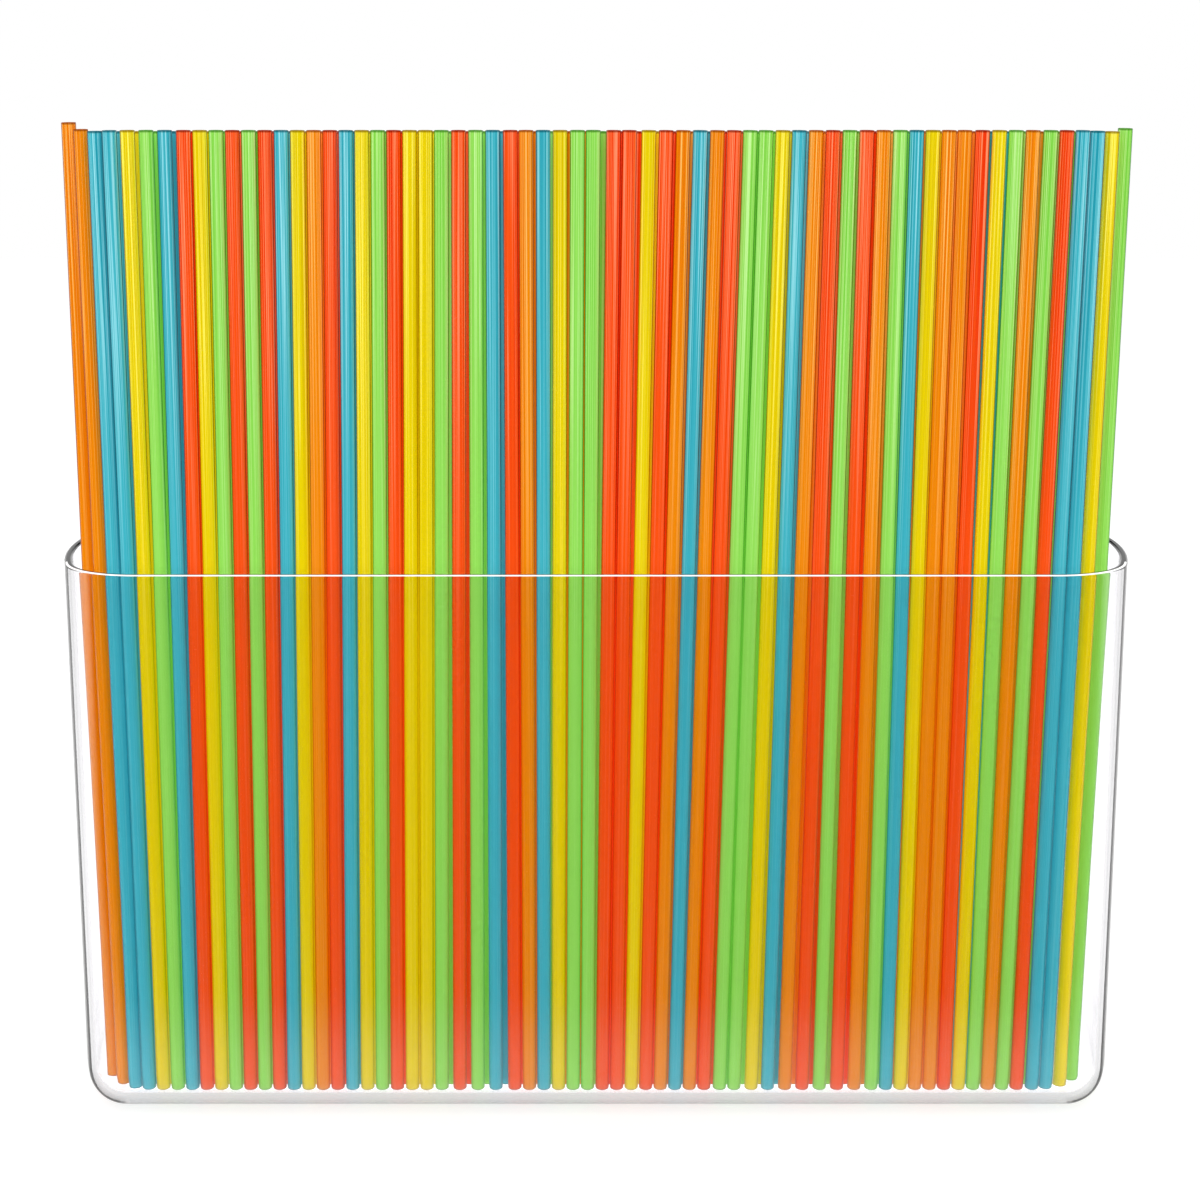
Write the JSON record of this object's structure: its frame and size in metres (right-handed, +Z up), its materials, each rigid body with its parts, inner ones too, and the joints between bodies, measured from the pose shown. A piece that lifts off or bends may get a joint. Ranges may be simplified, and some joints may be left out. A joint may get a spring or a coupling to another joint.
{
  "type": "straw bin",
  "caption": "Open clear bin, drafted, with round corners and softly bowed ends, that holds a dense standing row of slim straws; each straw or small bunch lifts out along its own line.",
  "frame": {"origin": "middle of the flat underside of the bin", "axes": "+X along the bin, -Y its front, where the straws lean on the rim, +Z up"},
  "size_m": [0.2274, 0.0755, 0.2067],
  "materials": {
    "clear_plastic": "clear moulded plastic, polished inside and out",
    "orange_plastic": "translucent orange plastic tube, fine lines along its length",
    "teal_plastic": "translucent teal plastic tube, fine lines along its length",
    "yellow_plastic": "translucent yellow plastic tube, fine lines along its length",
    "green_plastic": "translucent green plastic tube, fine lines along its length",
    "red_plastic": "translucent red plastic tube, fine lines along its length"
  },
  "bodies": {
    "bin": {"bin": "clear_plastic"},
    "orange_straws_01_02": {"orange_straws_01_02": "orange_plastic"},
    "teal_straws_03_04": {"teal_straws_03_04": "teal_plastic"},
    "yellow_straws_05": {"yellow_straws_05": "yellow_plastic"},
    "green_straws_06": {"green_straws_06": "green_plastic"},
    "teal_straws_07": {"teal_straws_07": "teal_plastic"},
    "red_straws_08": {"red_straws_08": "red_plastic"},
    "yellow_straws_09": {"yellow_straws_09": "yellow_plastic"},
    "green_straws_10": {"green_straws_10": "green_plastic"},
    "red_straws_11": {"red_straws_11": "red_plastic"},
    "green_straws_12": {"green_straws_12": "green_plastic"},
    "red_straws_13": {"red_straws_13": "red_plastic"},
    "teal_straws_14": {"teal_straws_14": "teal_plastic"},
    "yellow_straws_15": {"yellow_straws_15": "yellow_plastic"},
    "orange_straws_16": {"orange_straws_16": "orange_plastic"},
    "red_straws_17": {"red_straws_17": "red_plastic"},
    "teal_straws_18": {"teal_straws_18": "teal_plastic"},
    "yellow_straws_19": {"yellow_straws_19": "yellow_plastic"},
    "green_straws_20": {"green_straws_20": "green_plastic"},
    "red_straws_21": {"red_straws_21": "red_plastic"},
    "yellow_straws_22_23": {"yellow_straws_22_23": "yellow_plastic"},
    "green_straws_24": {"green_straws_24": "green_plastic"},
    "red_straws_25": {"red_straws_25": "red_plastic"},
    "green_straws_26": {"green_straws_26": "green_plastic"},
    "teal_straws_27": {"teal_straws_27": "teal_plastic"},
    "red_straws_28_29": {"red_straws_28_29": "red_plastic"},
    "orange_straws_29": {"orange_straws_29": "orange_plastic"},
    "teal_straws_30": {"teal_straws_30": "teal_plastic"},
    "green_straws_30_34": {"green_straws_30_34": "green_plastic"},
    "yellow_straws_31": {"yellow_straws_31": "yellow_plastic"},
    "orange_straws_31_33": {"orange_straws_31_33": "orange_plastic"},
    "red_straws_34_35": {"red_straws_34_35": "red_plastic"},
    "yellow_straws_36": {"yellow_straws_36": "yellow_plastic"},
    "red_straws_37": {"red_straws_37": "red_plastic"},
    "orange_straws_38": {"orange_straws_38": "orange_plastic"},
    "teal_straws_39": {"teal_straws_39": "teal_plastic"},
    "orange_straws_40": {"orange_straws_40": "orange_plastic"},
    "red_straws_40_41": {"red_straws_40_41": "red_plastic"},
    "green_straws_42_43": {"green_straws_42_43": "green_plastic"},
    "yellow_straws_44": {"yellow_straws_44": "yellow_plastic"},
    "teal_straws_45": {"teal_straws_45": "teal_plastic"},
    "orange_straws_46": {"orange_straws_46": "orange_plastic"},
    "red_straws_47": {"red_straws_47": "red_plastic"},
    "green_straws_48": {"green_straws_48": "green_plastic"},
    "red_straws_49": {"red_straws_49": "red_plastic"},
    "orange_straws_50": {"orange_straws_50": "orange_plastic"},
    "green_straws_51": {"green_straws_51": "green_plastic"},
    "teal_straws_52": {"teal_straws_52": "teal_plastic"},
    "orange_straws_52_55": {"orange_straws_52_55": "orange_plastic"},
    "yellow_straws_53": {"yellow_straws_53": "yellow_plastic"},
    "red_straws_56": {"red_straws_56": "red_plastic"},
    "teal_straws_56_58": {"teal_straws_56_58": "teal_plastic"},
    "yellow_straws_57": {"yellow_straws_57": "yellow_plastic"},
    "green_straws_58": {"green_straws_58": "green_plastic"},
    "orange_straws_59": {"orange_straws_59": "orange_plastic"},
    "green_straws_60_62": {"green_straws_60_62": "green_plastic"},
    "red_straws_61": {"red_straws_61": "red_plastic"},
    "teal_straws_62_63": {"teal_straws_62_63": "teal_plastic"},
    "yellow_straws_64": {"yellow_straws_64": "yellow_plastic"},
    "green_straws_65": {"green_straws_65": "green_plastic"}
  },
  "joints": [
    {"name": "lift_orange_straws_01_02", "type": "slide", "parent": "bin", "child": "orange_straws_01_02", "axis": [-0.0014, -0.058, 0.9983], "range_m": [0, 0.117]},
    {"name": "lift_teal_straws_03_04", "type": "slide", "parent": "bin", "child": "teal_straws_03_04", "axis": [-0.0011, -0.0578, 0.9983], "range_m": [0, 0.117]},
    {"name": "lift_yellow_straws_05", "type": "slide", "parent": "bin", "child": "yellow_straws_05", "axis": [0.0012, -0.0578, 0.9983], "range_m": [0, 0.117]},
    {"name": "lift_green_straws_06", "type": "slide", "parent": "bin", "child": "green_straws_06", "axis": [0.004, -0.0578, 0.9983], "range_m": [0, 0.117]},
    {"name": "lift_teal_straws_07", "type": "slide", "parent": "bin", "child": "teal_straws_07", "axis": [0.0068, -0.0578, 0.9983], "range_m": [0, 0.117]},
    {"name": "lift_red_straws_08", "type": "slide", "parent": "bin", "child": "red_straws_08", "axis": [0.0096, -0.0578, 0.9983], "range_m": [0, 0.117]},
    {"name": "lift_yellow_straws_09", "type": "slide", "parent": "bin", "child": "yellow_straws_09", "axis": [0.0101, -0.0578, 0.9983], "range_m": [0, 0.117]},
    {"name": "lift_green_straws_10", "type": "slide", "parent": "bin", "child": "green_straws_10", "axis": [0.0106, -0.0578, 0.9983], "range_m": [0, 0.117]},
    {"name": "lift_red_straws_11", "type": "slide", "parent": "bin", "child": "red_straws_11", "axis": [0.0111, -0.0578, 0.9983], "range_m": [0, 0.117]},
    {"name": "lift_green_straws_12", "type": "slide", "parent": "bin", "child": "green_straws_12", "axis": [0.0115, -0.0578, 0.9983], "range_m": [0, 0.117]},
    {"name": "lift_red_straws_13", "type": "slide", "parent": "bin", "child": "red_straws_13", "axis": [0.012, -0.0578, 0.9983], "range_m": [0, 0.117]},
    {"name": "lift_teal_straws_14", "type": "slide", "parent": "bin", "child": "teal_straws_14", "axis": [0.0125, -0.0578, 0.9983], "range_m": [0, 0.117]},
    {"name": "lift_yellow_straws_15", "type": "slide", "parent": "bin", "child": "yellow_straws_15", "axis": [0.013, -0.0578, 0.9982], "range_m": [0, 0.117]},
    {"name": "lift_orange_straws_16", "type": "slide", "parent": "bin", "child": "orange_straws_16", "axis": [0.0134, -0.0578, 0.9982], "range_m": [0, 0.117]},
    {"name": "lift_red_straws_17", "type": "slide", "parent": "bin", "child": "red_straws_17", "axis": [0.0139, -0.0578, 0.9982], "range_m": [0, 0.117]},
    {"name": "lift_teal_straws_18", "type": "slide", "parent": "bin", "child": "teal_straws_18", "axis": [0.0137, -0.0578, 0.9982], "range_m": [0, 0.117]},
    {"name": "lift_yellow_straws_19", "type": "slide", "parent": "bin", "child": "yellow_straws_19", "axis": [0.0134, -0.0578, 0.9982], "range_m": [0, 0.117]},
    {"name": "lift_green_straws_20", "type": "slide", "parent": "bin", "child": "green_straws_20", "axis": [0.0132, -0.0578, 0.9982], "range_m": [0, 0.117]},
    {"name": "lift_red_straws_21", "type": "slide", "parent": "bin", "child": "red_straws_21", "axis": [0.0129, -0.0578, 0.9982], "range_m": [0, 0.117]},
    {"name": "lift_yellow_straws_22_23", "type": "slide", "parent": "bin", "child": "yellow_straws_22_23", "axis": [0.0126, -0.0578, 0.9982], "range_m": [0, 0.117]},
    {"name": "lift_green_straws_24", "type": "slide", "parent": "bin", "child": "green_straws_24", "axis": [0.0122, -0.0578, 0.9983], "range_m": [0, 0.117]},
    {"name": "lift_red_straws_25", "type": "slide", "parent": "bin", "child": "red_straws_25", "axis": [0.01, -0.0578, 0.9983], "range_m": [0, 0.117]},
    {"name": "lift_green_straws_26", "type": "slide", "parent": "bin", "child": "green_straws_26", "axis": [0.0076, -0.0578, 0.9983], "range_m": [0, 0.117]},
    {"name": "lift_teal_straws_27", "type": "slide", "parent": "bin", "child": "teal_straws_27", "axis": [0.0053, -0.0578, 0.9983], "range_m": [0, 0.117]},
    {"name": "lift_red_straws_28_29", "type": "slide", "parent": "bin", "child": "red_straws_28_29", "axis": [0.0023, -0.0578, 0.9983], "range_m": [0, 0.117]},
    {"name": "lift_orange_straws_29", "type": "slide", "parent": "bin", "child": "orange_straws_29", "axis": [0.0023, -0.0578, 0.9983], "range_m": [0, 0.117]},
    {"name": "lift_teal_straws_30", "type": "slide", "parent": "bin", "child": "teal_straws_30", "axis": [0.0035, -0.0579, 0.9983], "range_m": [0, 0.117]},
    {"name": "lift_green_straws_30_34", "type": "slide", "parent": "bin", "child": "green_straws_30_34", "axis": [0.0062, -0.0578, 0.9983], "range_m": [0, 0.117]},
    {"name": "lift_yellow_straws_31", "type": "slide", "parent": "bin", "child": "yellow_straws_31", "axis": [0.0047, -0.0579, 0.9983], "range_m": [0, 0.117]},
    {"name": "lift_orange_straws_31_33", "type": "slide", "parent": "bin", "child": "orange_straws_31_33", "axis": [0.0059, -0.0578, 0.9983], "range_m": [0, 0.117]},
    {"name": "lift_red_straws_34_35", "type": "slide", "parent": "bin", "child": "red_straws_34_35", "axis": [0.0107, -0.0578, 0.9983], "range_m": [0, 0.117]},
    {"name": "lift_yellow_straws_36", "type": "slide", "parent": "bin", "child": "yellow_straws_36", "axis": [0.0143, -0.0578, 0.9982], "range_m": [0, 0.117]},
    {"name": "lift_red_straws_37", "type": "slide", "parent": "bin", "child": "red_straws_37", "axis": [0.0157, -0.0578, 0.9982], "range_m": [0, 0.117]},
    {"name": "lift_orange_straws_38", "type": "slide", "parent": "bin", "child": "orange_straws_38", "axis": [0.017, -0.0578, 0.9982], "range_m": [0, 0.117]},
    {"name": "lift_teal_straws_39", "type": "slide", "parent": "bin", "child": "teal_straws_39", "axis": [0.0182, -0.0578, 0.9982], "range_m": [0, 0.117]},
    {"name": "lift_orange_straws_40", "type": "slide", "parent": "bin", "child": "orange_straws_40", "axis": [0.0195, -0.0579, 0.9981], "range_m": [0, 0.117]},
    {"name": "lift_red_straws_40_41", "type": "slide", "parent": "bin", "child": "red_straws_40_41", "axis": [0.0203, -0.0578, 0.9981], "range_m": [0, 0.117]},
    {"name": "lift_green_straws_42_43", "type": "slide", "parent": "bin", "child": "green_straws_42_43", "axis": [0.0196, -0.0578, 0.9981], "range_m": [0, 0.117]},
    {"name": "lift_yellow_straws_44", "type": "slide", "parent": "bin", "child": "yellow_straws_44", "axis": [0.0178, -0.0578, 0.9982], "range_m": [0, 0.117]},
    {"name": "lift_teal_straws_45", "type": "slide", "parent": "bin", "child": "teal_straws_45", "axis": [0.0166, -0.0578, 0.9982], "range_m": [0, 0.117]},
    {"name": "lift_orange_straws_46", "type": "slide", "parent": "bin", "child": "orange_straws_46", "axis": [0.0148, -0.0578, 0.9982], "range_m": [0, 0.117]},
    {"name": "lift_red_straws_47", "type": "slide", "parent": "bin", "child": "red_straws_47", "axis": [0.0129, -0.0578, 0.9982], "range_m": [0, 0.117]},
    {"name": "lift_green_straws_48", "type": "slide", "parent": "bin", "child": "green_straws_48", "axis": [0.011, -0.0578, 0.9983], "range_m": [0, 0.117]},
    {"name": "lift_red_straws_49", "type": "slide", "parent": "bin", "child": "red_straws_49", "axis": [0.0091, -0.0578, 0.9983], "range_m": [0, 0.117]},
    {"name": "lift_orange_straws_50", "type": "slide", "parent": "bin", "child": "orange_straws_50", "axis": [0.0072, -0.0578, 0.9983], "range_m": [0, 0.117]},
    {"name": "lift_green_straws_51", "type": "slide", "parent": "bin", "child": "green_straws_51", "axis": [0.0055, -0.0578, 0.9983], "range_m": [0, 0.117]},
    {"name": "lift_teal_straws_52", "type": "slide", "parent": "bin", "child": "teal_straws_52", "axis": [0.006, -0.0579, 0.9983], "range_m": [0, 0.117]},
    {"name": "lift_orange_straws_52_55", "type": "slide", "parent": "bin", "child": "orange_straws_52_55", "axis": [0.0068, -0.0578, 0.9983], "range_m": [0, 0.117]},
    {"name": "lift_yellow_straws_53", "type": "slide", "parent": "bin", "child": "yellow_straws_53", "axis": [0.0064, -0.0578, 0.9983], "range_m": [0, 0.117]},
    {"name": "lift_red_straws_56", "type": "slide", "parent": "bin", "child": "red_straws_56", "axis": [0.0085, -0.0579, 0.9983], "range_m": [0, 0.117]},
    {"name": "lift_teal_straws_56_58", "type": "slide", "parent": "bin", "child": "teal_straws_56_58", "axis": [0.0095, -0.0578, 0.9983], "range_m": [0, 0.117]},
    {"name": "lift_yellow_straws_57", "type": "slide", "parent": "bin", "child": "yellow_straws_57", "axis": [0.0095, -0.0579, 0.9983], "range_m": [0, 0.117]},
    {"name": "lift_green_straws_58", "type": "slide", "parent": "bin", "child": "green_straws_58", "axis": [0.0106, -0.0578, 0.9983], "range_m": [0, 0.117]},
    {"name": "lift_orange_straws_59", "type": "slide", "parent": "bin", "child": "orange_straws_59", "axis": [0.0116, -0.0578, 0.9983], "range_m": [0, 0.117]},
    {"name": "lift_green_straws_60_62", "type": "slide", "parent": "bin", "child": "green_straws_60_62", "axis": [0.0135, -0.0578, 0.9982], "range_m": [0, 0.117]},
    {"name": "lift_red_straws_61", "type": "slide", "parent": "bin", "child": "red_straws_61", "axis": [0.0138, -0.0579, 0.9982], "range_m": [0, 0.117]},
    {"name": "lift_teal_straws_62_63", "type": "slide", "parent": "bin", "child": "teal_straws_62_63", "axis": [0.0132, -0.0579, 0.9982], "range_m": [0, 0.117]},
    {"name": "lift_yellow_straws_64", "type": "slide", "parent": "bin", "child": "yellow_straws_64", "axis": [0.0123, -0.0578, 0.9983], "range_m": [0, 0.117]},
    {"name": "lift_green_straws_65", "type": "slide", "parent": "bin", "child": "green_straws_65", "axis": [0.0119, -0.0581, 0.9982], "range_m": [0, 0.117]}
  ]
}
